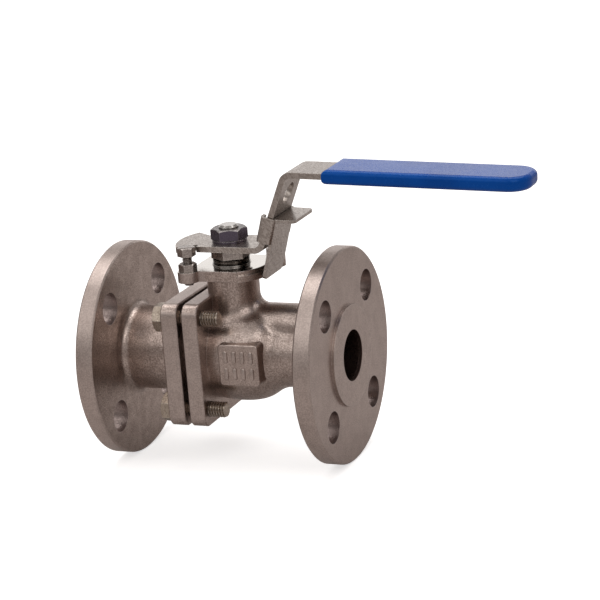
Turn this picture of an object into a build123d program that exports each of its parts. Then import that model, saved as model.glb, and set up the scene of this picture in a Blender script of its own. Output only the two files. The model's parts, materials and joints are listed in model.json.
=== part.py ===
from build123d import *
import math
import os

# Two-piece flanged ball valve with a lockable lever, millimetres.
# Origin: centre of the ball, where the flow line (X) meets the stem axis (Z).
# The body flange is at +X, the tail flange at -X. The lever points along +X when open.

# Flow line and end flanges
bore_radius = 12.7
body_face_x = 61.0
tail_face_x = -66.0
flange_radius = 54.0
flange_thickness = 9.0
raised_face_radius = 25.4
raised_face_height = 1.6
flange_rim_to_bolt_circle = 14.3
flange_hole_radius = 7.95
flange_hole_count = 4
flange_hole_angle = 45.0
flange_edge_chamfer = 0.8

# Ball and seats
ball_wall = 6.8
ball_to_body_gap = 0.8
seat_step = 1.0
seat_bore_gap = 0.2
seat_ball_gap = 0.05
seat_back_inset = 2.5
seat_width = 6.5

# Body seal: the tail spigot enters the body and squeezes a flat ring
spigot_gap = 0.05
spigot_end_x = -9.0
gasket_width = 2.7
gasket_floor_depth = 3.2
gasket_thickness = 1.4

# Square joint between body and tail piece
body_joint_x = -15.7
body_joint_thickness = 8.3
joint_gap = 2.6
tail_joint_thickness = 8.7
joint_corner_radius = 6.0
joint_edge_chamfer = 0.6
joint_bolt_radius = 4.0
joint_bolt_wall = 6.09
joint_bolt_edge = 8.1
joint_bolt_length = 28.3
joint_bolt_head_flats = 13.0
joint_bolt_head_height = 5.3
joint_hole_clearance = 0.3

# Castings
bulge_wall = 4.4
bulge_joint_wall = 3.5
bulge_shoulder_wall = 1.8
bulge_peak_x = 4.4
bulge_shoulder_x = 18.0
bulge_start_slope = 0.12
body_neck_wall = 4.3
body_neck_x = 31.0
ridge_radius = 11.0
ridge_rise = 8.4
ridge_fillet = 6.0
tail_neck_wall = 8.3
neck_fillet = 4.0
stem_neck_wall = 3.5
stem_neck_foot_radius = 21.0
label_pad_width = 21.4
label_pad_height = 21.2
label_pad_x = 10.6
label_pad_z = 0.5
label_pad_rise = 1.3
label_pad_depth = 8.0
label_pad_corner = 2.0
label_pad_edge = 0.8

# Stem, packing and gland
stem_radius = 6.0
tang_thickness = 6.0
tang_width = 14.0
tang_gap = 0.15
slot_depth = 5.0
collar_step = 2.0
collar_lift = 1.1
collar_height = 2.8
collar_gap = 0.3
thrust_washer_height = 1.5
stem_gap = 0.06
stem_wall = 3.5
packing_width = 3.5
packing_ring_height = 3.0
packing_ring_count = 3
gland_gap = 0.1
gland_rise = 0.8
spring_washer_width = 3.2
spring_washer_height = 0.9
spring_washer_dish = 0.45
gland_nut_wall = 2.5
gland_nut_height = 4.0
gland_nut_turn = 30.0
tab_washer_thickness = 0.8
tab_width = 5.0

# Lever
lever_thickness = 3.0
lever_width = 24.0
lever_tail_radius = 27.0
lever_tail_half_angle = 32.0
lever_hub_back_x = -13.0
riser_lean = 22.4
bar_height = 41.2
bar_height_x = 39.0
bar_droop = 1.5
lever_reach = 157.0
lever_bend_radius = 3.5
lever_end_radius = 9.0
padlock_hole_radius = 5.5
padlock_hole_height = 29.3
drive_step = 1.0
drive_flat_depth = 1.2
drive_gap = 0.05
lever_washer_thickness = 1.5
lever_washer_width = 3.7
lever_nut_wall = 3.0
lever_nut_height = 5.6
lever_nut_turn = 22.0
stem_end_rise = 1.6
stem_end_chamfer = 1.0

# Turning stops: two screws in ears of the pad, on one diagonal
stop_gap = 0.4
ear_radius = 5.3
stop_screw_radius = 2.5
stop_head_flats = 8.0
stop_head_height = 4.4
stop_head_drop = 0.6
stop_nut_height = 4.0
stop_screw_tip = 1.8
stop_tip_chamfer = 0.5

# Top pad
pad_top_z = 45.5
pad_thickness = 5.3
pad_ear_bite = 3.2
pad_side_gap = 0.1
ledge_drop = 2.0
ledge_width = 1.4
ledge_start_angle = -59.5
ledge_end_angle = 31.0
pad_hole_inset = 4.2
pad_hole_angle = -33.0
pad_hole_radius = 1.65
pad_hole_depth = 4.5

# Grip sleeve
grip_wall = 2.1
grip_start_x = 57.0
grip_edge_radius = 2.6
grip_end_radius = 11.0

# Lock slide: folded sheet that hangs on the riser
slide_sheet = 1.5
slide_side_gap = 0.4
slide_riser_gap = 0.2
slide_lean = 16.0
slide_below_lever = 13.4
slide_ear_overlap = 0.4
slide_wrap_start = 19.0
slide_length = 32.0
slide_lip_width = 5.0
slide_tab_length = 11.0
slide_tab_overhang = 2.0
slide_tab_rise = 14.0
slide_tab_corner = 2.5
slide_fold_radius = 2.1

# Small working values for cuts and chamfers
cut_overrun = 1.0
seam_tolerance = 0.02
hexagon_rim_cut = 0.2
hexagon_chamfer_angle = 30.0

# Values that follow from the sizes above
flange_bolt_circle_radius = flange_radius - flange_rim_to_bolt_circle
body_flange_back_x = body_face_x - raised_face_height - flange_thickness
tail_flange_back_x = tail_face_x + raised_face_height + flange_thickness
body_joint_back_x = body_joint_x + body_joint_thickness
tail_joint_x = body_joint_x - joint_gap
tail_joint_back_x = tail_joint_x - tail_joint_thickness
ball_radius = bore_radius + ball_wall
seat_radius = ball_radius - seat_step
seat_back_x = ball_radius - seat_back_inset
seat_front_x = seat_back_x - seat_width
cavity_radius = ball_radius + ball_to_body_gap
spigot_radius = cavity_radius - spigot_gap
register_radius = cavity_radius + gasket_width
gasket_floor_x = body_joint_x + gasket_floor_depth
joint_bolt_offset = (register_radius + joint_bolt_radius + joint_bolt_wall) / math.sqrt(2)
joint_side = 2 * (joint_bolt_offset + joint_bolt_edge)
bulge_radius = cavity_radius + bulge_wall
bulge_joint_radius = cavity_radius + bulge_joint_wall
bulge_shoulder_radius = cavity_radius + bulge_shoulder_wall
body_neck_radius = bore_radius + body_neck_wall
tail_neck_radius = bore_radius + tail_neck_wall
ridge_top_z = body_neck_radius + ridge_rise
label_pad_face_y = bulge_radius + label_pad_rise
label_pad_root_y = label_pad_face_y - label_pad_depth
collar_radius = stem_radius + collar_step
collar_bottom_z = ball_radius + collar_lift
collar_top_z = collar_bottom_z + collar_height
thrust_top_z = collar_top_z + thrust_washer_height
packing_radius = stem_radius + packing_width
packing_floor_z = thrust_top_z + stem_wall
packing_top_z = packing_floor_z + packing_ring_height * packing_ring_count
stem_neck_radius = packing_radius + stem_neck_wall
stem_neck_fillet = stem_neck_foot_radius - stem_neck_radius
gland_top_z = pad_top_z + gland_rise
pad_bottom_z = pad_top_z - pad_thickness
spring_floor_z = gland_top_z + stem_gap
spring_step = spring_washer_height + spring_washer_dish
spring_washer_radius = stem_radius + spring_washer_width
gland_nut_flats = 2 * (stem_radius + gland_nut_wall)
gland_nut_z = spring_floor_z + 2 * spring_step
tab_washer_z = gland_nut_z + gland_nut_height
tab_washer_radius = gland_nut_flats / 2 + tab_washer_thickness
drive_radius = stem_radius - drive_step
drive_flats = 2 * (drive_radius - drive_flat_depth)
lever_bottom_z = tab_washer_z + tab_washer_thickness
lever_top_z = lever_bottom_z + lever_thickness
lever_washer_radius = drive_radius + lever_washer_width
lever_nut_flats = 2 * (drive_radius + lever_nut_wall)
lever_nut_z = lever_top_z + lever_washer_thickness
stem_end_z = lever_nut_z + lever_nut_height + stem_end_rise
stop_offset = (lever_width + stop_head_flats) / 2 + stop_gap
stop_head_z = lever_bottom_z - stop_head_drop
ledge_radius = stop_offset * math.sqrt(2) - pad_ear_bite
pad_half_width = stop_offset + pad_side_gap
pad_upper_radius = ledge_radius - ledge_width
pad_hole_circle_radius = ledge_radius - pad_hole_inset
riser_foot_x = ledge_radius
slide_leg_width = 2 * (stop_offset - ear_radius + slide_ear_overlap)
slide_tab_width = slide_leg_width + slide_tab_overhang
tilt = math.radians(riser_lean)
slide_tilt = math.radians(riser_lean - slide_lean)


def box_between(x0, x1, y0, y1, z0, z1):
    corner = Pos((x0 + x1) / 2, (y0 + y1) / 2, (z0 + z1) / 2)
    return corner * Box(x1 - x0, y1 - y0, z1 - z0)


def rod_x(radius, x0, x1, y=0.0, z=0.0):
    return Pos(x0, y, z) * Rot(0, 90, 0) * extrude(Circle(radius), x1 - x0)


def rod_z(radius, z0, z1, x=0.0, y=0.0):
    return Pos(x, y, z0) * extrude(Circle(radius), z1 - z0)


def hexagon_prism(flats, height):
    return extrude(RegularPolygon(flats / 2, 6, major_radius=False), height)


def turned_hexagon(flats, height):
    # Hexagon whose upper corners are turned off on a cone
    corner = flats / math.sqrt(3)
    rim = flats / 2 - hexagon_rim_cut
    drop = (corner - rim) * math.tan(math.radians(hexagon_chamfer_angle))
    outline = Polyline((0, 0), (corner, 0), (corner, height - drop), (rim, height), (0, height), close=True)
    drum = revolve(Plane.XZ * make_face(outline), Axis.Z)
    return hexagon_prism(flats, height) & drum


def ring_z(outer, inner, z0, z1):
    return rod_z(outer, z0, z1) - rod_z(inner, z0, z1)


def square_plate(x0, x1):
    # Square joint plate with rounded corners and softened face edges
    section = RectangleRounded(joint_side, joint_side, joint_corner_radius)
    plate = Pos(x0, 0, 0) * Rot(0, 90, 0) * extrude(section, x1 - x0)
    rims = plate.faces().sort_by(Axis.X)[0].edges() + plate.faces().sort_by(Axis.X)[-1].edges()
    return chamfer(rims, joint_edge_chamfer)


def joint_bolt_places():
    offset = joint_bolt_offset
    return [(y, z) for y in (-offset, offset) for z in (-offset, offset)]


def neck_round(start_x, end_x, radius):
    # Concave round where a neck runs into the back of its flange
    side = 1 if end_x > start_x else -1
    centre = (end_x - side * neck_fillet, radius + neck_fillet)
    low = (centre[0], radius)
    high = (end_x, centre[1])
    middle = (centre[0] + side * neck_fillet * math.sin(math.radians(45)),
              centre[1] - neck_fillet * math.cos(math.radians(45)))
    root = radius - cut_overrun
    walls = Polyline(high, (end_x, root), (low[0], root), low)
    return revolve(make_face([ThreePointArc(low, middle, high), walls]), Axis.X)


def flange_disc(back_x, front_x):
    # Round flange with a raised face; back_x is the neck side
    side = 1 if front_x > back_x else -1
    rim_x = front_x - side * raised_face_height
    edge = flange_edge_chamfer
    outline = Polyline(
        (back_x, 0), (back_x, flange_radius - edge), (back_x + side * edge, flange_radius),
        (rim_x - side * edge, flange_radius), (rim_x, flange_radius - edge),
        (rim_x, raised_face_radius), (front_x, raised_face_radius), (front_x, 0), close=True)
    disc = revolve(make_face(outline), Axis.X)
    for k in range(flange_hole_count):
        angle = math.radians(flange_hole_angle + k * 360 / flange_hole_count)
        y = flange_bolt_circle_radius * math.cos(angle)
        z = flange_bolt_circle_radius * math.sin(angle)
        disc -= rod_x(flange_hole_radius, back_x - side * cut_overrun, front_x + side * cut_overrun, y, z)
    return disc


def sector(radius, start_angle, end_angle):
    # Flat pie slice about the origin
    middle = (start_angle + end_angle) / 2
    ends = [(radius * math.cos(math.radians(a)), radius * math.sin(math.radians(a)))
            for a in (start_angle, middle, end_angle)]
    edges = [Line((0, 0), ends[0]), ThreePointArc(*ends), Line(ends[2], (0, 0))]
    return make_face(edges)


def stop_places():
    # Place of each stop and the turn that sets a flat of its hexagons beside the lever
    return [(-stop_offset, -stop_offset, 30), (stop_offset, stop_offset, 0)]


def make_top_pad():
    # Machined pad with two ears, and a lower ledge round its free corner
    plan = Rectangle(2 * pad_half_width, 2 * pad_half_width) & Circle(ledge_radius)
    ledge = sector(ledge_radius, ledge_start_angle, ledge_end_angle)
    ledge_top_z = pad_top_z - ledge_drop
    step = ledge - Circle(pad_upper_radius)
    plan += ledge
    for x, y, _ in stop_places():
        plan += Pos(x, y) * Circle(ear_radius)
        step -= Pos(x, y) * Circle(ear_radius)
    pad = Pos(0, 0, pad_bottom_z) * extrude(plan, pad_thickness)
    pad -= Pos(0, 0, ledge_top_z) * extrude(step, ledge_drop)
    angle = math.radians(pad_hole_angle)
    x = pad_hole_circle_radius * math.cos(angle)
    y = pad_hole_circle_radius * math.sin(angle)
    pad -= rod_z(pad_hole_radius, pad_top_z - pad_hole_depth, pad_top_z, x, y)
    for x, y, _ in stop_places():
        pad -= rod_z(stop_screw_radius, pad_bottom_z, pad_top_z, x, y)
    return pad


def seams_on(shape, radius, reach):
    # Curved edges that stay one radius away from an axis; reach gives a point's distance from it
    def stays(edge):
        return all(abs(reach(edge @ share) - radius) < seam_tolerance for share in (0.1, 0.5, 0.9))
    return shape.edges().filter_by(GeomType.BSPLINE).filter_by(stays)


def make_body_outside():
    # Round bulge over the ball, neck to the flange, stem neck and a top ridge
    bulge = Spline((body_joint_back_x, bulge_joint_radius), (bulge_peak_x, bulge_radius),
                   (bulge_shoulder_x, bulge_shoulder_radius), (body_neck_x, body_neck_radius),
                   tangents=[(1, bulge_start_slope), (1, 0)])
    run = Polyline((body_neck_x, body_neck_radius), (body_flange_back_x, body_neck_radius),
                   (body_flange_back_x, 0), (body_joint_back_x, 0), (body_joint_back_x, bulge_joint_radius))
    shell = revolve(make_face([bulge, run]), Axis.X)
    shell += rod_z(stem_neck_radius, 0, pad_bottom_z)
    seams = seams_on(shell, stem_neck_radius, lambda point: math.hypot(point.X, point.Y))
    shell = fillet(seams, stem_neck_fillet)
    ridge_z = ridge_top_z - ridge_radius
    shell += rod_x(ridge_radius, 0, body_flange_back_x, 0, ridge_z)
    seams = seams_on(shell, ridge_radius, lambda point: math.hypot(point.Y, point.Z - ridge_z))
    return fillet(seams, ridge_fillet)


def make_label_pad():
    # Plain raised pad on the side of the body
    plan = RectangleRounded(label_pad_width, label_pad_height, label_pad_corner)
    block = extrude(plan, label_pad_face_y - label_pad_root_y)
    block = fillet(block.faces().sort_by(Axis.Z)[-1].edges(), label_pad_edge)
    return Pos(label_pad_x, -label_pad_root_y, label_pad_z) * Rot(90, 0, 0) * block


def make_valve_body():
    casting = make_body_outside()
    casting += square_plate(body_joint_x, body_joint_back_x)
    casting += flange_disc(body_flange_back_x, body_face_x)
    casting += neck_round(body_neck_x, body_flange_back_x, body_neck_radius)
    casting += make_top_pad()
    casting += make_label_pad()
    casting -= rod_x(cavity_radius, body_joint_x - cut_overrun, 0)
    casting -= Sphere(cavity_radius)
    casting -= rod_x(seat_radius, 0, seat_back_x)
    casting -= rod_x(bore_radius, 0, body_face_x + cut_overrun)
    casting -= rod_x(register_radius, body_joint_x - cut_overrun, gasket_floor_x)
    casting -= rod_z(collar_radius + collar_gap, 0, thrust_top_z)
    casting -= rod_z(stem_radius + stem_gap, 0, pad_top_z)
    casting -= rod_z(packing_radius, packing_floor_z, pad_top_z)
    for y, z in joint_bolt_places():
        casting -= rod_x(joint_bolt_radius, body_joint_x - cut_overrun, bulge_peak_x, y, z)
    return casting


def make_tail_piece():
    casting = rod_x(tail_neck_radius, tail_flange_back_x, tail_joint_x)
    casting += square_plate(tail_joint_back_x, tail_joint_x)
    casting += flange_disc(tail_flange_back_x, tail_face_x)
    casting += neck_round(tail_joint_back_x, tail_flange_back_x, tail_neck_radius)
    casting += neck_round(tail_flange_back_x, tail_joint_back_x, tail_neck_radius)
    casting += rod_x(register_radius - spigot_gap, tail_joint_x, gasket_floor_x - gasket_thickness)
    casting += rod_x(spigot_radius, tail_joint_x, spigot_end_x)
    casting -= rod_x(seat_radius, -seat_back_x, spigot_end_x)
    casting -= rod_x(bore_radius, tail_face_x - cut_overrun, 0)
    hole_radius = joint_bolt_radius + joint_hole_clearance
    for y, z in joint_bolt_places():
        casting -= rod_x(hole_radius, tail_joint_back_x - cut_overrun, tail_joint_x + cut_overrun, y, z)
    return casting


def make_joint_bolt(y, z):
    head = turned_hexagon(joint_bolt_head_flats, joint_bolt_head_height)
    head = Pos(tail_joint_back_x, y, z) * Rot(0, -90, 0) * head
    shank = rod_x(joint_bolt_radius, tail_joint_back_x, tail_joint_back_x + joint_bolt_length, y, z)
    tip = shank.faces().sort_by(Axis.X)[-1].edges()
    return head + chamfer(tip, joint_edge_chamfer)


def make_ball():
    ball = Sphere(ball_radius)
    ball -= rod_x(bore_radius, -ball_radius, ball_radius)
    half = tang_thickness / 2 + tang_gap
    floor_z = ball_radius - slot_depth
    return ball - box_between(-half, half, -ball_radius, ball_radius, floor_z, ball_radius)


def make_seat(side):
    # Ring with a hollow spherical face against the ball
    face_radius = ball_radius + seat_ball_gap
    inner_radius = bore_radius + seat_bore_gap
    rim = (seat_front_x, math.sqrt(face_radius**2 - seat_front_x**2))
    throat = (math.sqrt(face_radius**2 - inner_radius**2), inner_radius)
    middle_angle = (math.atan2(rim[1], rim[0]) + math.atan2(throat[1], throat[0])) / 2
    middle = (face_radius * math.cos(middle_angle), face_radius * math.sin(middle_angle))
    walls = Polyline(throat, (seat_back_x, inner_radius), (seat_back_x, seat_radius),
                     (seat_front_x, seat_radius), rim)
    ring = revolve(make_face([ThreePointArc(rim, middle, throat), walls]), Axis.X)
    return ring if side > 0 else Rot(0, 0, 180) * ring


def make_body_gasket():
    start = gasket_floor_x - gasket_thickness
    return rod_x(register_radius, start, gasket_floor_x) - rod_x(spigot_radius, start, gasket_floor_x)


def drive_section(gap):
    # Round with two flats that carries the lever
    flat = drive_flats + 2 * gap
    return Circle(drive_radius + gap) & Rectangle(flat, 4 * drive_radius)


def make_stem():
    tang_bottom_z = ball_radius - slot_depth + collar_gap
    half_x = tang_thickness / 2
    half_y = tang_width / 2
    tang = box_between(-half_x, half_x, -half_y, half_y, tang_bottom_z, collar_bottom_z)
    stem = tang + rod_z(collar_radius, collar_bottom_z, collar_top_z)
    stem += rod_z(stem_radius, collar_top_z, tab_washer_z)
    stem += Pos(0, 0, tab_washer_z) * extrude(drive_section(0), lever_top_z - tab_washer_z)
    thread = rod_z(drive_radius, lever_top_z, stem_end_z)
    thread = chamfer(thread.faces().sort_by(Axis.Z)[-1].edges(), stem_end_chamfer)
    return stem + thread


def make_spring_washer(z, inner_rise, outer_rise):
    # Dished disc spring
    outline = Polyline(
        (stem_radius, z + inner_rise), (spring_washer_radius, z + outer_rise),
        (spring_washer_radius, z + outer_rise + spring_washer_height),
        (stem_radius, z + inner_rise + spring_washer_height), close=True)
    return revolve(Plane.XZ * make_face(outline), Axis.Z)


def make_gland_nut():
    nut = Rot(0, 0, gland_nut_turn) * hexagon_prism(gland_nut_flats, gland_nut_height)
    return Pos(0, 0, gland_nut_z) * nut - rod_z(stem_radius, gland_nut_z, tab_washer_z)


def make_tab_washer():
    # Thin washer with one tab folded down over a flat of the gland nut
    washer = extrude(Circle(tab_washer_radius) - drive_section(0), tab_washer_thickness)
    washer = Pos(0, 0, tab_washer_z) * washer
    inner_x = -gland_nut_flats / 2
    outer_x = inner_x - tab_washer_thickness
    half = tab_width / 2
    bottom_z = tab_washer_z - gland_nut_height + tab_washer_thickness
    return washer + box_between(outer_x, inner_x, -half, half, bottom_z, lever_bottom_z)


def bar_frame():
    # Frame on the top face of the bar, X along the bar towards its end
    return Pos(bar_height_x, 0, lever_bottom_z + bar_height) * Rot(0, bar_droop, 0)


def lever_mid_line():
    # Middle of the folded flat bar in side view: hub, riser, bar
    lean = math.tan(tilt)
    slope = math.tan(math.radians(bar_droop))
    half = lever_thickness / 2
    hub_z = lever_bottom_z + half
    foot_x = riser_foot_x + half / math.cos(tilt) - half * lean
    bar_z = lever_bottom_z + bar_height - half
    rise = (bar_z - hub_z + slope * (bar_height_x - foot_x)) / (1 + slope * lean)
    end_z = bar_z - slope * (lever_reach - bar_height_x)
    corners = [(0, 0, hub_z), (foot_x, 0, hub_z),
               (foot_x + rise * lean, 0, hub_z + rise), (lever_reach, 0, end_z)]
    return FilletPolyline(*corners, radius=lever_bend_radius + half)


def make_lever_blank():
    # Plain folded bar from the stem axis to its rounded end
    path = lever_mid_line()
    start = Plane(origin=path @ 0, x_dir=(0, 1, 0), z_dir=(1, 0, 0))
    blank = sweep(start * Rectangle(lever_width, lever_thickness), path=path)
    end = blank.faces().sort_by(Axis.X)[-1]
    corners = end.edges().filter_by(lambda edge: edge.length < lever_width / 2)
    return fillet(corners, lever_end_radius)


def make_lever():
    hub_length = -lever_hub_back_x
    hub = Pos(-hub_length / 2, 0) * Rectangle(hub_length, lever_width)
    half_angle = lever_tail_half_angle
    tail = sector(lever_tail_radius, 180 - half_angle, 180 + half_angle)
    lever = Pos(0, 0, lever_bottom_z) * extrude(hub + tail, lever_thickness)
    lever += make_lever_blank()
    lever -= Pos(0, 0, lever_bottom_z) * extrude(drive_section(drive_gap), lever_thickness)
    hole_z = lever_bottom_z + padlock_hole_height
    hole_x = riser_foot_x + (hole_z - lever_top_z) * math.tan(tilt)
    drill = extrude(Circle(padlock_hole_radius), 2 * lever_thickness, both=True)
    return lever - Pos(hole_x, 0, hole_z) * Rot(0, 90 + riser_lean, 0) * drill


def make_grip_sleeve():
    # Dipped sleeve over the bar, closed at its tip
    width = lever_width + 2 * grip_wall
    height = lever_thickness + 2 * grip_wall
    start = grip_start_x - bar_height_x
    length = lever_reach + grip_wall - grip_start_x
    sleeve = Pos(start + length / 2, 0, -height + grip_wall) * extrude(Rectangle(length, width), height)
    tip = sleeve.edges().filter_by(Axis.Z).sort_by(Axis.X)[-2:]
    sleeve = fillet(tip, grip_end_radius)
    rims = sleeve.faces().filter_by(Axis.Z).edges()
    sleeve = fillet(rims, grip_edge_radius)
    return bar_frame() * sleeve - make_lever_blank()


def slide_frame():
    # Frame of the lock slide: origin at the lower outer edge, Z up along the sheet.
    # Its upper inner edge stands slide_riser_gap off the underside of the riser.
    lean = math.radians(slide_lean)
    bottom_z = lever_bottom_z - slide_below_lever
    edge_x = slide_length * math.sin(lean) - slide_sheet * math.cos(lean)
    edge_z = bottom_z + slide_length * math.cos(lean) + slide_sheet * math.sin(lean)
    under_x = riser_foot_x + lever_thickness / math.cos(tilt) + (edge_z - lever_top_z) * math.tan(tilt)
    outer_x = under_x + slide_riser_gap / math.cos(tilt) - edge_x
    return Pos(outer_x, 0, bottom_z) * Rot(0, slide_lean, 0)


def make_lock_slide():
    # Sheet with a leg below, two sides folded round the riser, and a finger tab on top
    wrap_length = slide_length - slide_wrap_start
    room = lever_thickness + 2 * slide_riser_gap + wrap_length * math.sin(slide_tilt)
    depth = room / math.cos(slide_tilt)
    inner_half = lever_width / 2 + slide_side_gap
    outer_half = inner_half + slide_sheet
    back_x = -depth - 2 * slide_sheet
    wrap = box_between(back_x, 0, -outer_half, outer_half, slide_wrap_start, slide_length)
    wrap = fillet(wrap.edges().filter_by(Axis.Z), slide_fold_radius)
    hollow = box_between(back_x + slide_sheet, -slide_sheet, -inner_half, inner_half,
                         slide_wrap_start, slide_length)
    wrap -= fillet(hollow.edges().filter_by(Axis.Z), slide_fold_radius - slide_sheet)
    mouth = outer_half - slide_lip_width
    wrap -= box_between(back_x, back_x + slide_sheet, -mouth, mouth, slide_wrap_start, slide_length)
    half = slide_leg_width / 2
    leg = box_between(-slide_sheet, 0, -half, half, 0, slide_length)
    leg = fillet(leg.edges().filter_by(Axis.X).sort_by(Axis.Z)[:2], slide_tab_corner)
    tab = extrude(Rectangle(slide_tab_length, slide_tab_width), slide_sheet)
    tab = fillet(tab.edges().filter_by(Axis.Z).sort_by(Axis.X)[-2:], slide_tab_corner)
    root = Pos(-slide_sheet / 2, 0, slide_length - slide_sheet) * Rot(0, -slide_tab_rise, 0)
    tab = root * Pos(slide_tab_length / 2, 0, 0) * tab
    return slide_frame() * (wrap + leg + tab)


def make_stop_screw(x, y, turn):
    head = Pos(x, y, stop_head_z) * Rot(0, 0, turn) * turned_hexagon(stop_head_flats, stop_head_height)
    shank = rod_z(stop_screw_radius, pad_bottom_z - stop_screw_tip, stop_head_z, x, y)
    tip = shank.faces().sort_by(Axis.Z)[0].edges()
    return head + chamfer(tip, stop_tip_chamfer)


def make_stop_nut(x, y, turn):
    nut = Pos(x, y, pad_top_z) * Rot(0, 0, turn) * turned_hexagon(stop_head_flats, stop_nut_height)
    return nut - rod_z(stop_screw_radius, pad_top_z, pad_top_z + stop_nut_height, x, y)


def make_lever_nut():
    nut = Rot(0, 0, lever_nut_turn) * turned_hexagon(lever_nut_flats, lever_nut_height)
    return Pos(0, 0, lever_nut_z) * nut - rod_z(drive_radius, lever_nut_z, stem_end_z)


def build_pieces():
    pieces = {
        "valve_body": make_valve_body(),
        "tail_piece": make_tail_piece(),
        "ball": make_ball(),
        "seat_body_side": make_seat(1),
        "seat_tail_side": make_seat(-1),
        "body_gasket": make_body_gasket(),
        "stem": make_stem(),
        "thrust_washer": ring_z(
            collar_radius, stem_radius + stem_gap, collar_top_z + stem_gap, thrust_top_z),
        "gland_bush": ring_z(packing_radius - stem_gap, stem_radius + gland_gap, packing_top_z, gland_top_z),
        "spring_washer_lower": make_spring_washer(spring_floor_z, 0, spring_washer_dish),
        "spring_washer_upper": make_spring_washer(spring_floor_z + spring_step, spring_washer_dish, 0),
        "gland_nut": make_gland_nut(),
        "tab_washer": make_tab_washer(),
        "lever": make_lever(),
        "lever_washer": ring_z(lever_washer_radius, drive_radius, lever_top_z, lever_nut_z),
        "lever_nut": make_lever_nut(),
        "grip_sleeve": make_grip_sleeve(),
        "lock_slide": make_lock_slide(),
    }
    for k in range(packing_ring_count):
        start = packing_floor_z + k * packing_ring_height
        ring = ring_z(packing_radius, stem_radius + stem_gap, start, start + packing_ring_height)
        pieces[f"packing_ring_{k + 1}"] = ring
    for name, place in zip(("front", "rear"), stop_places()):
        pieces[f"stop_screw_{name}"] = make_stop_screw(*place)
        pieces[f"stop_nut_{name}"] = make_stop_nut(*place)
    for k, (y, z) in enumerate(joint_bolt_places()):
        pieces[f"joint_bolt_{k + 1}"] = make_joint_bolt(y, z)
    return pieces


os.makedirs("parts", exist_ok=True)
for piece_name, piece in build_pieces().items():
    export_step(piece, f"parts/{piece_name}.step")
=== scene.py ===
import json
import math

import bpy
from mathutils import Matrix, Vector


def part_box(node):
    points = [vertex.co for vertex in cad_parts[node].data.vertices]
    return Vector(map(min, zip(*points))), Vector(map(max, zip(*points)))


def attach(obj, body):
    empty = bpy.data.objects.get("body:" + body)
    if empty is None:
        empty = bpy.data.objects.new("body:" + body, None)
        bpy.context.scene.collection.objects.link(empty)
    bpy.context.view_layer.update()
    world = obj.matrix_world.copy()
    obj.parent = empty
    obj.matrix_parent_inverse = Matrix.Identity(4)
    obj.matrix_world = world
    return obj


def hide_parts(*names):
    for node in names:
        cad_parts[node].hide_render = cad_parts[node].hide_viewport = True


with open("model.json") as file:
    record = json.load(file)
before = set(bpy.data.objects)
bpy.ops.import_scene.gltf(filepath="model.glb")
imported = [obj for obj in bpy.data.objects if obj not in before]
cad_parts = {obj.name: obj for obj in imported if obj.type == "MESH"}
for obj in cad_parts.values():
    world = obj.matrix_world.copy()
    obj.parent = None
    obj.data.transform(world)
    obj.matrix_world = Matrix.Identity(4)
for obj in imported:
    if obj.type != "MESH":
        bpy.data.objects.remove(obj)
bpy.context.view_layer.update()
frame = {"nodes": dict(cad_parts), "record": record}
nodes = frame["nodes"]
mm = 0.001
print("frame loaded:", len(nodes), "parts")


# Small tools for node trees
def addNode(tree, kind, inputs=None, **settings):
    node = tree.nodes.new("ShaderNode" + kind)
    for key, value in settings.items():
        setattr(node, key, value)
    for key, value in (inputs or {}).items():
        if isinstance(value, bpy.types.NodeSocket):
            tree.links.new(value, node.inputs[key])
        else:
            node.inputs[key].default_value = value
    return node


def math2(tree, operation, a, b=0.0, clamp=False):
    node = addNode(tree, "Math", {0: a, 1: b}, operation=operation, use_clamp=clamp)
    return node.outputs[0]


def ramp(tree, value, low, high, outLow=0.0, outHigh=1.0):
    inputs = {"Value": value, "From Min": low, "From Max": high, "To Min": outLow, "To Max": outHigh}
    node = addNode(tree, "MapRange", inputs, interpolation_type="SMOOTHSTEP")
    return node.outputs[0]


def mixColor(tree, factor, a, b):
    return addNode(tree, "Mix", {0: factor, 6: a, 7: b}, data_type="RGBA").outputs[2]


def mixValue(tree, factor, a, b):
    return addNode(tree, "Mix", {0: factor, 2: a, 3: b}, data_type="FLOAT").outputs[0]


def objectPoint(tree):
    return addNode(tree, "TexCoord").outputs["Object"]


def noise(tree, point, scale, detail=3.0, rough=0.55):
    inputs = {"Vector": point, "Scale": scale, "Detail": detail, "Roughness": rough}
    return addNode(tree, "TexNoise", inputs, noise_dimensions="3D").outputs[0]


def startGroup(name, inputs, outputs):
    group = bpy.data.node_groups.new(name, "ShaderNodeTree")
    for label, kind, start in inputs:
        socket = group.interface.new_socket(label, in_out="INPUT", socket_type="NodeSocket" + kind)
        socket.default_value = start
    for label, kind in outputs:
        group.interface.new_socket(label, in_out="OUTPUT", socket_type="NodeSocket" + kind)
    return group, group.nodes.new("NodeGroupInput").outputs, group.nodes.new("NodeGroupOutput").inputs


def useGroup(tree, group, inputs=None):
    node = tree.nodes.new("ShaderNodeGroup")
    node.node_tree = group
    for key, value in (inputs or {}).items():
        if isinstance(value, bpy.types.NodeSocket):
            tree.links.new(value, node.inputs[key])
        else:
            node.inputs[key].default_value = value
    return node.outputs


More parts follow.
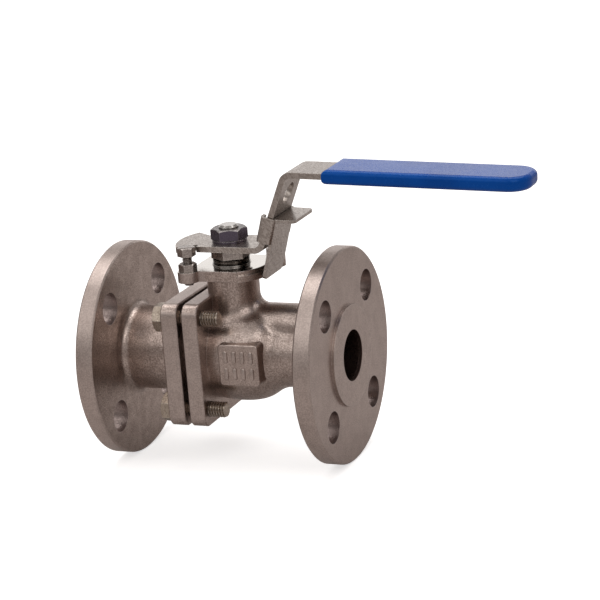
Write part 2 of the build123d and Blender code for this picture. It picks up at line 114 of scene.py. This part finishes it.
# Effects shared by the materials
# Fine blasted grain with soft blotches from the shell mould
def makeBlastGrain():
    inputs = [("Grain", "Float", 1500.0), ("Blotch", "Float", 160.0)]
    outputs = [("Height", "Float"), ("Tone", "Float"), ("Patch", "Float")]
    group, given, result = startGroup("blastGrain", inputs, outputs)
    point = objectPoint(group)
    fine = noise(group, point, given["Grain"], 2.0, 0.6)
    blotch = noise(group, point, given["Blotch"], 4.0, 0.6)
    broad = noise(group, point, 26.0, 2.0, 0.5)
    bumps = mixValue(group, 0.22, fine, blotch)
    tone = mixValue(group, 0.3, fine, blotch)
    group.links.new(bumps, result["Height"])
    group.links.new(ramp(group, tone, 0.39, 0.61), result["Tone"])
    group.links.new(ramp(group, broad, 0.38, 0.64), result["Patch"])
    return group


# Edge rubs bright on outer edges, and Recess finds inner corners and hollows, where painted shade goes
def makeEdgesAndCorners():
    inputs = [("Edge Width", "Float", 0.0007), ("Recess Depth", "Float", 0.004), ("Breakup", "Float", 700.0)]
    outputs = [("Edge", "Float"), ("Recess", "Float")]
    group, given, result = startGroup("edgesAndCorners", inputs, outputs)
    inner = addNode(group, "AmbientOcclusion", {"Distance": given["Edge Width"]}, samples=4)
    inner.inside, inner.only_local = True, True
    outer = addNode(group, "AmbientOcclusion", {"Distance": given["Recess Depth"]}, samples=4)
    chips = noise(group, objectPoint(group), given["Breakup"], 3.0, 0.6)
    edge = ramp(group, inner.outputs["AO"], 0.95, 0.45)
    edge = math2(group, "MULTIPLY", edge, ramp(group, chips, 0.3, 0.6, 0.35, 1.0))
    group.links.new(edge, result["Edge"])
    # Recess carries painted shade: it is strongest where nearby parts block the light
    group.links.new(ramp(group, outer.outputs["AO"], 0.9, 0.3), result["Recess"])
    return group


# Long fine lines left by grinding or rolling, drawn along the axis with the small stretch
def makeToolLines():
    inputs = [("Stretch", "Vector", (900.0, 60.0, 900.0))]
    outputs = [("Height", "Float"), ("Tone", "Float")]
    group, given, result = startGroup("toolLines", inputs, outputs)
    drawn = addNode(group, "VectorMath", {0: objectPoint(group), 1: given["Stretch"]}, operation="MULTIPLY")
    lines = noise(group, drawn.outputs[0], 1.0, 4.0, 0.62)
    group.links.new(lines, result["Height"])
    group.links.new(ramp(group, lines, 0.35, 0.65), result["Tone"])
    return group


# Rings left by a lathe about the X axis
def makeLatheRings():
    inputs = [("Rings per Metre", "Float", 2600.0)]
    outputs = [("Height", "Float"), ("Tone", "Float")]
    group, given, result = startGroup("latheRings", inputs, outputs)
    point = objectPoint(group)
    flat = addNode(group, "VectorMath", {0: point, 1: (0.0, 1.0, 1.0)}, operation="MULTIPLY").outputs[0]
    radius = addNode(group, "VectorMath", {0: flat}, operation="LENGTH").outputs["Value"]
    wobble = math2(group, "MULTIPLY", noise(group, point, 90.0, 2.0), 0.0004)
    turn = math2(group, "MULTIPLY", math2(group, "ADD", radius, wobble), given["Rings per Metre"])
    inputs = {"W": turn, "Scale": 1.0, "Detail": 2.0}
    rings = addNode(group, "TexNoise", inputs, noise_dimensions="1D").outputs[0]
    group.links.new(rings, result["Height"])
    group.links.new(ramp(group, rings, 0.35, 0.65), result["Tone"])
    return group


# Short crossing marks from tumbling in a barrel
def makeTumbleMarks():
    inputs = [("Density", "Float", 1.0)]
    outputs = [("Height", "Float"), ("Tone", "Float")]
    group, given, result = startGroup("tumbleMarks", inputs, outputs)
    point = objectPoint(group)
    marks = None
    for turn, scale in ((0.4, (170, 1500, 1500)), (1.5, (150, 1700, 1300)), (2.5, (190, 1400, 1600))):
        turned = addNode(group, "VectorRotate", {"Vector": point, "Angle": turn, "Axis": (0.3, 0.5, 0.81)})
        scaled = addNode(group, "VectorMath", {0: turned.outputs[0], 1: scale}, operation="MULTIPLY")
        layer = noise(group, scaled.outputs[0], given["Density"], 2.0, 0.5)
        marks = layer if marks is None else mixValue(group, 0.5, marks, layer)
    group.links.new(marks, result["Height"])
    group.links.new(ramp(group, marks, 0.4, 0.6), result["Tone"])
    return group


blastGrain = makeBlastGrain()
edgesAndCorners = makeEdgesAndCorners()
toolLines = makeToolLines()
latheRings = makeLatheRings()
tumbleMarks = makeTumbleMarks()
print("shared effects ready")


def startMaterial(name):
    material = bpy.data.materials.new(name)
    material.use_nodes = True
    tree = material.node_tree
    return material, tree, tree.nodes["Principled BSDF"]


def feed(tree, shader, label, value):
    if isinstance(value, bpy.types.NodeSocket):
        tree.links.new(value, shader.inputs[label])
    else:
        shader.inputs[label].default_value = value


def bump(tree, height, strength, depth, rounding=0.0):
    inputs = {"Height": height, "Strength": strength, "Distance": depth}
    if rounding:
        inputs["Normal"] = addNode(tree, "Bevel", {"Radius": rounding}, samples=4).outputs[0]
    return addNode(tree, "Bump", inputs).outputs[0]


# Cast body and tail piece: blasted skin, with machined faces where the tools went
castLook = {
    # the recess colour is painted shade for hollows and inner corners
    "light": (0.58, 0.485, 0.44, 1), "dark": (0.33, 0.26, 0.23, 1), "recessShade": (0.085, 0.055, 0.045, 1),
    "worn": (0.64, 0.575, 0.54, 1), "machined": (0.54, 0.465, 0.435, 1), "polished": (0.72, 0.69, 0.65, 1),
    # the bore colour is painted shade for the inside of the bore
    "boreShade": (0.13, 0.08, 0.066, 1), "roughness": (0.27, 0.40), "grainDepth": 0.00012,
    "flangeFaceX": (59.3 * mm, -64.3 * mm), "rimRadius": 53.2 * mm, "boreRadius": 12.85 * mm,
    "flangeFrom": 50.0 * mm, "holeCentre": (0.0, 28.07 * mm, 28.07 * mm), "holeRadius": 8.05 * mm,
    # the drilled colour is painted shade for the bolt-hole walls
    "holeShade": (0.28, 0.225, 0.215, 1),
    "plateX": (-26.9 * mm, -7.5 * mm), "plateHalf": 30.8 * mm,
    "padZ": 43.2 * mm, "padReach": 24.5 * mm, "padFacing": 0.8,
    # how strongly each colour is laid over the one before it
    "patchMix": 0.14, "machinedMix": 0.4, "edgeMix": 0.55,
    "recessMix": 0.12, "boreMix": 0.9, "drilledMix": 0.8,
    "machinedRoughness": (0.34, 0.42), "polishedRoughness": (0.10, 0.18),
    "edgeRoughness": 0.28, "edgeRoughMix": 0.6,
    # heights against the blasted grain
    "toolHeight": 0.4, "padHeight": 0.05, "smoothMix": 0.6, "bumpStrength": 0.75, "rounding": 0.5 * mm,
}


def makeCastMaterial():
    look = castLook
    material, tree, shader = startMaterial("castStainless")
    grain = useGroup(tree, blastGrain)
    wear = useGroup(tree, edgesAndCorners, {"Edge Width": 0.0008, "Recess Depth": 0.006})
    point = objectPoint(tree)
    place = addNode(tree, "SeparateXYZ", {0: point}).outputs
    normal = addNode(tree, "NewGeometry").outputs["True Normal"]
    facing = addNode(tree, "SeparateXYZ", {0: normal}).outputs
    flat = addNode(tree, "VectorMath", {0: point, 1: (0.0, 1.0, 1.0)}, operation="MULTIPLY").outputs[0]
    radius = addNode(tree, "VectorMath", {0: flat}, operation="LENGTH").outputs["Value"]

    # turned flange ends and rims
    ends = math2(tree, "MAXIMUM", math2(tree, "GREATER_THAN", place[0], look["flangeFaceX"][0]),
                 math2(tree, "LESS_THAN", place[0], look["flangeFaceX"][1]))
    rims = math2(tree, "GREATER_THAN", radius, look["rimRadius"])
    turned = math2(tree, "MAXIMUM", ends, rims)
    # the bore and the bolt-hole walls get painted shade below
    boreShade = math2(tree, "LESS_THAN", radius, look["boreRadius"])
    mirrored = addNode(tree, "VectorMath", {0: flat}, operation="ABSOLUTE").outputs[0]
    toHole = addNode(tree, "VectorMath", {0: mirrored, 1: look["holeCentre"]}, operation="SUBTRACT")
    holeReach = addNode(tree, "VectorMath", {0: toHole.outputs[0]}, operation="LENGTH").outputs["Value"]
    inFlange = math2(tree, "GREATER_THAN", math2(tree, "ABSOLUTE", place[0]), look["flangeFrom"])
    holeShade = math2(tree, "MULTIPLY", inFlange, math2(tree, "LESS_THAN", holeReach, look["holeRadius"]))

    # milled sides of the joint plates
    inPlate = math2(tree, "MULTIPLY", math2(tree, "GREATER_THAN", place[0], look["plateX"][0]),
                    math2(tree, "LESS_THAN", place[0], look["plateX"][1]))
    reach = math2(tree, "MAXIMUM", math2(tree, "ABSOLUTE", place[1]), math2(tree, "ABSOLUTE", place[2]))
    milled = math2(tree, "MULTIPLY", inPlate, math2(tree, "GREATER_THAN", reach, look["plateHalf"]))

    # ground top pad
    padTop = math2(tree, "MULTIPLY", math2(tree, "GREATER_THAN", place[2], look["padZ"]),
                   math2(tree, "GREATER_THAN", facing[2], look["padFacing"]))
    nearStem = math2(tree, "LESS_THAN", math2(tree, "ABSOLUTE", place[0]), look["padReach"])
    padTop = math2(tree, "MULTIPLY", padTop, nearStem)

    rings = useGroup(tree, latheRings)
    lines = useGroup(tree, toolLines, {"Stretch": (1500.0, 1500.0, 70.0)})
    color = mixColor(tree, grain["Tone"], look["dark"], look["light"])
    color = mixColor(tree, math2(tree, "MULTIPLY", grain["Patch"], look["patchMix"]), color, look["light"])
    machined = math2(tree, "MAXIMUM", turned, milled, clamp=True)
    color = mixColor(tree, math2(tree, "MULTIPLY", machined, look["machinedMix"]), color, look["machined"])
    color = mixColor(tree, padTop, color, look["polished"])
    color = mixColor(tree, math2(tree, "MULTIPLY", wear["Edge"], look["edgeMix"]), color, look["worn"])
    # painted shade in recesses, from the occlusion mask
    color = mixColor(tree, math2(tree, "MULTIPLY", wear["Recess"], look["recessMix"]), color, look["recessShade"])
    # painted shade down the bore
    color = mixColor(tree, math2(tree, "MULTIPLY", boreShade, look["boreMix"]), color, look["boreShade"])
    # painted shade on the walls of the bolt holes
    color = mixColor(tree, math2(tree, "MULTIPLY", holeShade, look["drilledMix"]), color, look["holeShade"])
    feed(tree, shader, "Base Color", color)

    rough = mixValue(tree, grain["Tone"], look["roughness"][1], look["roughness"][0])
    rough = mixValue(tree, machined, rough, mixValue(tree, lines["Tone"], *look["machinedRoughness"]))
    rough = mixValue(tree, padTop, rough, mixValue(tree, lines["Tone"], *look["polishedRoughness"]))
    rubbed = math2(tree, "MULTIPLY", wear["Edge"], look["edgeRoughMix"])
    rough = mixValue(tree, rubbed, rough, look["edgeRoughness"])
    feed(tree, shader, "Roughness", rough)

    toolHeight = mixValue(tree, milled, rings["Height"], lines["Height"])
    smooth = math2(tree, "MAXIMUM", machined, padTop, clamp=True)
    toolHeight = math2(tree, "MULTIPLY", toolHeight, look["toolHeight"])
    height = mixValue(tree, math2(tree, "MULTIPLY", smooth, look["smoothMix"]), grain["Height"], toolHeight)
    height = mixValue(tree, padTop, height, math2(tree, "MULTIPLY", lines["Height"], look["padHeight"]))
    normal = bump(tree, height, look["bumpStrength"], look["grainDepth"], look["rounding"])
    feed(tree, shader, "Normal", normal)
    feed(tree, shader, "Metallic", 1.0)
    return material


# Sheet parts: lever, lock slide and tab washer, tumbled after punching and folding
sheetLook = {
    "light": (0.54, 0.49, 0.455, 1), "dark": (0.345, 0.30, 0.27, 1), "worn": (0.74, 0.70, 0.66, 1),
    # the recess colour is painted shade for inner corners
    "recessShade": (0.10, 0.075, 0.06, 1), "roughness": (0.24, 0.36), "markDepth": 0.00004,
    "patchMix": 0.35, "edgeMix": 0.6, "recessMix": 0.4, "rounding": 0.4 * mm,
}


def makeSheetMaterial():
    look = sheetLook
    material, tree, shader = startMaterial("tumbledSheet")
    marks = useGroup(tree, tumbleMarks)
    grain = useGroup(tree, blastGrain, {"Grain": 900.0, "Blotch": 120.0})
    wear = useGroup(tree, edgesAndCorners, {"Edge Width": 0.0005, "Recess Depth": 0.003})
    color = mixColor(tree, marks["Tone"], look["dark"], look["light"])
    color = mixColor(tree, math2(tree, "MULTIPLY", grain["Patch"], look["patchMix"]), color, look["dark"])
    color = mixColor(tree, math2(tree, "MULTIPLY", wear["Edge"], look["edgeMix"]), color, look["worn"])
    # painted shade in inner corners, from the occlusion mask
    color = mixColor(tree, math2(tree, "MULTIPLY", wear["Recess"], look["recessMix"]), color, look["recessShade"])
    feed(tree, shader, "Base Color", color)
    rough = mixValue(tree, marks["Tone"], look["roughness"][1], look["roughness"][0])
    feed(tree, shader, "Roughness", rough)
    feed(tree, shader, "Normal", bump(tree, marks["Height"], 0.6, look["markDepth"], look["rounding"]))
    feed(tree, shader, "Metallic", 1.0)
    return material


cornerShadeColor = (0.03, 0.021, 0.017, 1)  # painted shade for the corners of the hardware


# Screws, nuts, washers and turned parts share one maker with their own values
def makeHardware(name, look):
    material, tree, shader = startMaterial(name)
    grain = useGroup(tree, blastGrain, {"Grain": look["grain"], "Blotch": look["blotch"]})
    wear = useGroup(tree, edgesAndCorners, {"Edge Width": look["edge"], "Recess Depth": 0.0025})
    color = mixColor(tree, grain["Tone"], look["dark"], look["light"])
    if "tint" in look:
        normal = addNode(tree, "NewGeometry").outputs["True Normal"]
        facing = addNode(tree, "SeparateXYZ", {0: normal}).outputs
        side = math2(tree, "LESS_THAN", math2(tree, "ABSOLUTE", facing[2]), look["sideFacing"])
        color = mixColor(tree, math2(tree, "MULTIPLY", side, look["tintMix"]), color, look["tint"])
    color = mixColor(tree, math2(tree, "MULTIPLY", wear["Edge"], look["rub"]), color, look["worn"])
    # painted shade in the corners, from the occlusion mask
    color = mixColor(tree, math2(tree, "MULTIPLY", wear["Recess"], look["cornerShadeMix"]), color, cornerShadeColor)
    feed(tree, shader, "Base Color", color)
    feed(tree, shader, "Roughness", mixValue(tree, grain["Tone"], look["rough"][1], look["rough"][0]))
    feed(tree, shader, "Normal", bump(tree, grain["Height"], 0.5, look["depth"], look["round"]))
    feed(tree, shader, "Metallic", look["metal"])
    return material


# each look's corner mix sets how much painted shade goes into the corners
boltLook = {
    "light": (0.50, 0.43, 0.36, 1), "dark": (0.33, 0.27, 0.22, 1), "worn": (0.70, 0.66, 0.61, 1),
    "grain": 1900.0, "blotch": 420.0, "edge": 0.0004, "rub": 0.6, "cornerShadeMix": 0.6,
    "rough": (0.22, 0.36), "depth": 0.00003, "round": 0.0002, "metal": 1.0,
}
nutLook = {
    "light": (0.22, 0.20, 0.20, 1), "dark": (0.10, 0.088, 0.085, 1), "worn": (0.55, 0.53, 0.52, 1),
    "tint": (0.13, 0.11, 0.16, 1), "tintMix": 0.85, "sideFacing": 0.4,  # the tint stays on upright sides
    "grain": 1700.0, "blotch": 380.0, "edge": 0.0005, "rub": 0.7, "cornerShadeMix": 0.5,
    "rough": (0.20, 0.36), "depth": 0.00004, "round": 0.0003, "metal": 1.0,
}
stopLook = dict(boltLook, light=(0.52, 0.47, 0.44, 1), dark=(0.34, 0.30, 0.28, 1), round=0.0003)
springLook = {
    "light": (0.10, 0.085, 0.075, 1), "dark": (0.03, 0.024, 0.021, 1), "worn": (0.42, 0.38, 0.34, 1),
    "grain": 1300.0, "blotch": 500.0, "edge": 0.0003, "rub": 0.8, "cornerShadeMix": 0.8,
    "rough": (0.14, 0.30), "depth": 0.00003, "round": 0.0002, "metal": 1.0,
}
turnedLook = {
    "light": (0.60, 0.58, 0.56, 1), "dark": (0.45, 0.43, 0.41, 1), "worn": (0.74, 0.73, 0.71, 1),
    "grain": 2200.0, "blotch": 300.0, "edge": 0.0003, "rub": 0.5, "cornerShadeMix": 0.6,
    "rough": (0.16, 0.26), "depth": 0.00001, "round": 0.0002, "metal": 1.0,
}
ballLook = dict(turnedLook, light=(0.68, 0.68, 0.68, 1), dark=(0.60, 0.60, 0.60, 1),
                rough=(0.05, 0.10), depth=0.000004)
sealLook = {
    "light": (0.84, 0.83, 0.80, 1), "dark": (0.76, 0.75, 0.72, 1), "worn": (0.88, 0.87, 0.85, 1),
    "grain": 1100.0, "blotch": 260.0, "edge": 0.0003, "rub": 0.2, "cornerShadeMix": 0.3,
    "rough": (0.42, 0.55), "depth": 0.00002, "round": 0.0002, "metal": 0.0,
}


# Dipped vinyl grip
vinylLook = {
    "deep": (0.0005, 0.052, 0.30, 1), "bright": (0.0008, 0.066, 0.36, 1), "scuff": (0.02, 0.12, 0.42, 1),
    "roughness": (0.20, 0.28), "skinDepth": 0.000025, "scuffMix": 0.4,
    "ior": 1.5, "specularTint": (0.2, 0.5, 1.0, 1),
}


def makeVinylMaterial():
    look = vinylLook
    material, tree, shader = startMaterial("blueVinyl")
    grain = useGroup(tree, blastGrain, {"Grain": 700.0, "Blotch": 90.0})
    wear = useGroup(tree, edgesAndCorners, {"Edge Width": 0.0012, "Recess Depth": 0.002})
    scratches = useGroup(tree, tumbleMarks, {"Density": 0.35})
    color = mixColor(tree, grain["Patch"], look["deep"], look["bright"])
    scratched = ramp(tree, scratches["Tone"], 0.55, 0.9, 0.0, look["scuffMix"])
    rubbed = math2(tree, "MULTIPLY", wear["Edge"], scratched)
    color = mixColor(tree, rubbed, color, look["scuff"])
    feed(tree, shader, "Base Color", color)
    rough = mixValue(tree, grain["Tone"], look["roughness"][0], look["roughness"][1])
    feed(tree, shader, "Roughness", rough)
    feed(tree, shader, "Normal", bump(tree, grain["Height"], 0.25, look["skinDepth"]))
    shader.inputs["IOR"].default_value = look["ior"]
    shader.inputs["Specular Tint"].default_value = look["specularTint"]
    return material


finishes = {
    "cast_stainless": makeCastMaterial(),
    "sheet_steel": makeSheetMaterial(),
    "bolt_steel": makeHardware("boltSteel", boltLook),
    "nut_steel": makeHardware("nutSteel", nutLook),
    "stop_steel": makeHardware("stopScrewSteel", stopLook),
    "dark_spring_steel": makeHardware("springSteel", springLook),
    "machined_steel": makeHardware("turnedSteel", turnedLook),
    "polished_steel": makeHardware("polishedBall", ballLook),
    "ptfe": makeHardware("whiteSeal", sealLook),
    "blue_vinyl": makeVinylMaterial(),
}
for part in frame["record"]["subparts"]:
    slotName = part["material_slot"]
    if part["node"].startswith("stop_") or part["node"] == "gland_nut":
        slotName = "stop_steel"
    nodes[part["node"]].data.materials.clear()
    nodes[part["node"]].data.materials.append(finishes[slotName])
print("finishes on the frame parts")


# Meshes for the threaded hardware
def finishMesh(name, points, faces, matrix, finish, sharp=32):
    mesh = bpy.data.meshes.new(name)
    mesh.from_pydata([matrix @ Vector(p) for p in points], [], faces)
    mesh.validate()
    for polygon in mesh.polygons:
        polygon.use_smooth = True
    mesh.set_sharp_from_angle(angle=math.radians(sharp))
    mesh.materials.append(finishes[finish])
    piece = bpy.data.objects.new(name, mesh)
    bpy.context.scene.collection.objects.link(piece)
    return piece


# A closed skin through rings of points, all with the same count, closed by a cap at each end
def skin(rings):
    points = [p for ring in rings for p in ring]
    count = len(rings[0])
    faces = []
    for row in range(len(rings) - 1):
        for k in range(count):
            a, b = row * count + k, row * count + (k + 1) % count
            faces.append((a, b, b + count, a + count))
    faces.append(tuple(reversed(range(count))))
    faces.append(tuple(range((len(rings) - 1) * count, len(rings) * count)))
    return points, faces


def circleRing(radius, z, count):
    return [(radius * math.cos(2 * math.pi * k / count), radius * math.sin(2 * math.pi * k / count), z)
            for k in range(count)]


# Screw thread from z0 to z1; its crests are on the given radius and it is turned down to a chamfer at z1
def threadRings(radius, pitch, z0, z1, count, chamferLength):
    depth = 0.6 * pitch
    steps = int((z1 - z0) / pitch * 8)
    rings = []
    for row in range(steps + 1):
        z = z0 + (z1 - z0) * row / steps
        limit = radius - max(0.0, chamferLength - (z1 - z)) * 0.8
        fadeIn = min(1.0, (z - z0) / pitch)
        ring = []
        for k in range(count):
            angle = 2 * math.pi * k / count
            phase = (z / pitch - k / count) % 1.0
            groove = 1 - abs(2 * phase - 1)
            profile = min(1.0, max(0.0, 1.25 * groove - 0.1))
            r = min(radius - depth * profile * fadeIn, limit)
            ring.append((r * math.cos(angle), r * math.sin(angle), z))
        rings.append(ring)
    return rings


# Hexagon head from z0 up to z0 + height with its corners turned off on the far side
def hexRings(flats, z0, height, count):
    rim = flats / 2 * 0.95
    ring0, ring1, ring2 = [], [], []
    for k in range(count):
        angle = 2 * math.pi * k / count
        across = (angle + math.pi / 6) % (math.pi / 3) - math.pi / 6
        r = flats / 2 / math.cos(across)
        drop = (r - rim) * math.tan(math.radians(30))
        cosA, sinA = math.cos(angle), math.sin(angle)
        ring0.append((r * cosA, r * sinA, z0))
        ring1.append((r * cosA, r * sinA, z0 + height - drop))
        ring2.append((rim * cosA, rim * sinA, z0 + height))
    return [ring0, ring1, ring2]


# Joint bolts: hexagon head behind the tail plate, thread showing past the body plate
jointBolt = {"radius": 3.98 * mm, "pitch": 1.41 * mm, "headFlats": 13 * mm, "headHeight": 5.3 * mm,
             "threadLength": 13.0 * mm, "threadGap": 0.02 * mm, "chamfer": 0.7 * mm, "count": 60}


def makeJointBolt(node, turn):
    p = jointBolt
    low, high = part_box(node)
    centerY, centerZ = (low[1] + high[1]) / 2, (low[2] + high[2]) / 2
    length = high[0] - low[0]
    head = list(reversed([[(x, y, p["headHeight"] - z) for x, y, z in ring]
                          for ring in hexRings(p["headFlats"], 0.0, p["headHeight"], p["count"])]))
    shankEnd = length - p["threadLength"]
    shank = [circleRing(p["radius"], z, p["count"]) for z in (p["headHeight"], shankEnd)]
    threadStart = shankEnd + p["threadGap"]
    thread = threadRings(p["radius"], p["pitch"], threadStart, length, p["count"], p["chamfer"])
    points, faces = skin(head + shank + thread)
    along = Matrix.Translation((low[0], centerY, centerZ)) @ Matrix.Rotation(math.radians(90), 4, "Y")
    place = along @ Matrix.Rotation(math.radians(turn), 4, "Z")
    piece = finishMesh(node + "_threaded", points, faces, place, "bolt_steel")
    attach(piece, "housing")
    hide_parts(node)


for index, turn in enumerate((30, 0, 12, 48)):
    makeJointBolt("joint_bolt_%d" % (index + 1), turn)
print("joint bolts made")

# Stop screws: thread from the head down through the lock nut and the ear
stopScrew = {"radius": 2.48 * mm, "pitch": 0.8 * mm, "headFlats": 8 * mm, "headHeight": 4.4 * mm,
             "chamfer": 0.5 * mm, "count": 48}


def makeStopScrew(node, turn):
    p = stopScrew
    low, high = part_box(node)
    centerX, centerY = (low[0] + high[0]) / 2, (low[1] + high[1]) / 2
    length = high[2] - low[2]
    head = list(reversed([[(x, y, p["headHeight"] - z) for x, y, z in ring]
                          for ring in hexRings(p["headFlats"], 0.0, p["headHeight"], p["count"])]))
    thread = threadRings(p["radius"], p["pitch"], p["headHeight"], length, p["count"], p["chamfer"])
    points, faces = skin(head + thread)
    down = Matrix.Translation((centerX, centerY, high[2])) @ Matrix.Rotation(math.radians(180), 4, "X")
    place = down @ Matrix.Rotation(math.radians(turn), 4, "Z")
    piece = finishMesh(node + "_threaded", points, faces, place, "stop_steel")
    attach(piece, "housing")
    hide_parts(node)


makeStopScrew("stop_screw_front", 0)
makeStopScrew("stop_screw_rear", 30)
print("stop screws made")

# Label pad: two rows of plain raised bars in place of cast marks
labelBars = {
    "middle": (10.6 * mm, 0.5 * mm), "faceY": -26.0 * mm, "rows": (4.3 * mm, -4.3 * mm), "count": 4,
    "spacing": 4.5 * mm, "tall": 6.2 * mm, "wide": 2.1 * mm, "rise": 0.6 * mm, "round": 0.25 * mm,
    "footSpread": 0.3 * mm, "sunk": 0.1 * mm,
}


def barOutline(x, z, wide, tall, y):
    outline = []
    for side, start in ((1, 0), (-1, 180)):
        for k in range(7):
            angle = math.radians(start + 30 * k)
            middleZ = z + side * (tall - wide) / 2
            outline.append((x + wide / 2 * math.cos(angle), y, middleZ + wide / 2 * math.sin(angle)))
    return outline


def makeLabelBars():
    p = labelBars
    wide, tall, soft = p["wide"], p["tall"], p["round"]
    foot = p["footSpread"]
    points, faces = [], []
    for rowZ in p["rows"]:
        for k in range(p["count"]):
            x = p["middle"][0] + (k - (p["count"] - 1) / 2) * p["spacing"]
            z = p["middle"][1] + rowZ
            top = p["faceY"] - p["rise"]
            rings = [barOutline(x, z, wide + foot, tall + foot, p["faceY"] + p["sunk"]),
                     barOutline(x, z, wide, tall, top + soft),
                     barOutline(x, z, wide - soft, tall - soft, top + soft * 0.3),
                     barOutline(x, z, wide - 2 * soft, tall - 2 * soft, top)]
            newPoints, newFaces = skin(rings)
            first = len(points)
            points += newPoints
            faces += [tuple(first + i for i in face) for face in newFaces]
    piece = finishMesh("label_bars", points, faces, Matrix.Identity(4), "cast_stainless", 50)
    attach(piece, "housing")


makeLabelBars()
print("label bars made")

# Camera and studio
cameraPlace = {"aim": (59.4 * mm, 0.0, 40.2 * mm), "azimuth": 21.97, "elevation": 15.37, "roll": -4.33,
               "distance": 1.191, "lens": 146.4, "shift": (-0.0735, -0.039)}


def makeCamera():
    p = cameraPlace
    a, e, r = (math.radians(p[key]) for key in ("azimuth", "elevation", "roll"))
    back = Vector((math.sin(a) * math.cos(e), -math.cos(a) * math.cos(e), math.sin(e)))
    level = Vector((math.cos(a), math.sin(a), 0.0))
    upright = back.cross(level)
    right = level * math.cos(r) + upright * math.sin(r)
    up = upright * math.cos(r) - level * math.sin(r)
    data = bpy.data.cameras.new("camera")
    data.lens, data.sensor_width = p["lens"], 36.0
    data.shift_x, data.shift_y = p["shift"]
    data.clip_start, data.clip_end = 0.05, 50.0
    camera = bpy.data.objects.new("camera", data)
    spot = Vector(p["aim"]) + back * p["distance"]
    camera.matrix_world = Matrix.Translation(spot) @ Matrix((right, up, back)).transposed().to_4x4()
    bpy.context.scene.collection.objects.link(camera)
    bpy.context.scene.camera = camera


studio = {
    "floorZ": -54.1 * mm, "floorSide": 14.0, "aim": (0.01, 0.0, 0.01),
    # each pair: what the metal sees, then what the camera sees
    "floorColor": ((0.46, 0.43, 0.42, 1), (0.95, 0.95, 0.95, 1)),
    "floorGlow": ((0.15, 0.139, 0.133, 1), (1, 1, 1, 1)), "floorGlowStrength": 0.6,
    "surround": ((0.33, 0.31, 0.30, 1), (1.0, 1.0, 1.0, 1)),
    # name: azimuth, elevation, distance, width, height, watts, colour
    "frontBox": (-24.0, 42.0, 1.2, 1.3, 0.9, 2.75, (1.0, 0.98, 0.96)),
    "topBox": (200.0, 74.0, 0.95, 1.1, 0.7, 4.8, (1.0, 0.985, 0.97)),
    "backPanel": (202.0, 15.0, 1.7, 2.6, 0.6, 3.7, (1.0, 0.99, 0.985)),
    "sideStrip": (46.0, 38.0, 1.2, 0.6, 0.9, 2.3, (1.0, 0.98, 0.96)),
}


def makeSoftbox(name):
    azimuth, elevation, distance, width, height, watts, color = studio[name]
    a, e = math.radians(azimuth), math.radians(elevation)
    away = Vector((math.sin(a) * math.cos(e), -math.cos(a) * math.cos(e), math.sin(e)))
    data = bpy.data.lights.new(name, "AREA")
    data.shape, data.size, data.size_y = "RECTANGLE", width, height
    data.energy, data.color = watts, color
    light = bpy.data.objects.new(name, data)
    turn = away.to_track_quat("Z", "Y").to_matrix().to_4x4()
    light.matrix_world = Matrix.Translation(Vector(studio["aim"]) + away * distance) @ turn
    light.visible_camera = False
    bpy.context.scene.collection.objects.link(light)


def makeFloor():
    half, z = studio["floorSide"] / 2, studio["floorZ"]
    mesh = bpy.data.meshes.new("floor")
    corners = [(-half, -half, z), (half, -half, z), (half, half, z), (-half, half, z)]
    mesh.from_pydata(corners, [], [(0, 1, 2, 3)])
    material, tree, shader = startMaterial("paleFloor")
    feed(tree, shader, "Roughness", 0.9)
    # the camera sees the floor pale, and the metal sees it as a dimmer sweep
    seen = addNode(tree, "LightPath").outputs["Is Camera Ray"]
    feed(tree, shader, "Base Color", mixColor(tree, seen, *studio["floorColor"]))
    feed(tree, shader, "Emission Color", mixColor(tree, seen, *studio["floorGlow"]))
    shader.inputs["Emission Strength"].default_value = studio["floorGlowStrength"]
    mesh.materials.append(material)
    floor = bpy.data.objects.new("floor", mesh)
    bpy.context.scene.collection.objects.link(floor)


def makeWorld():
    world = bpy.data.worlds.new("studio")
    world.use_nodes = True
    tree = world.node_tree
    seen = addNode(tree, "LightPath").outputs["Is Camera Ray"]
    background = tree.nodes["Background"]
    surround = mixColor(tree, seen, *studio["surround"])
    tree.links.new(surround, background.inputs["Color"])
    background.inputs["Strength"].default_value = 1.0
    bpy.context.scene.world = world


makeCamera()
for lightName in ("frontBox", "topBox", "backPanel", "sideStrip"):
    makeSoftbox(lightName)
makeFloor()
makeWorld()
bpy.context.scene.view_settings.view_transform = "Standard"
bpy.context.scene.view_settings.look = "None"
print("camera and studio ready")
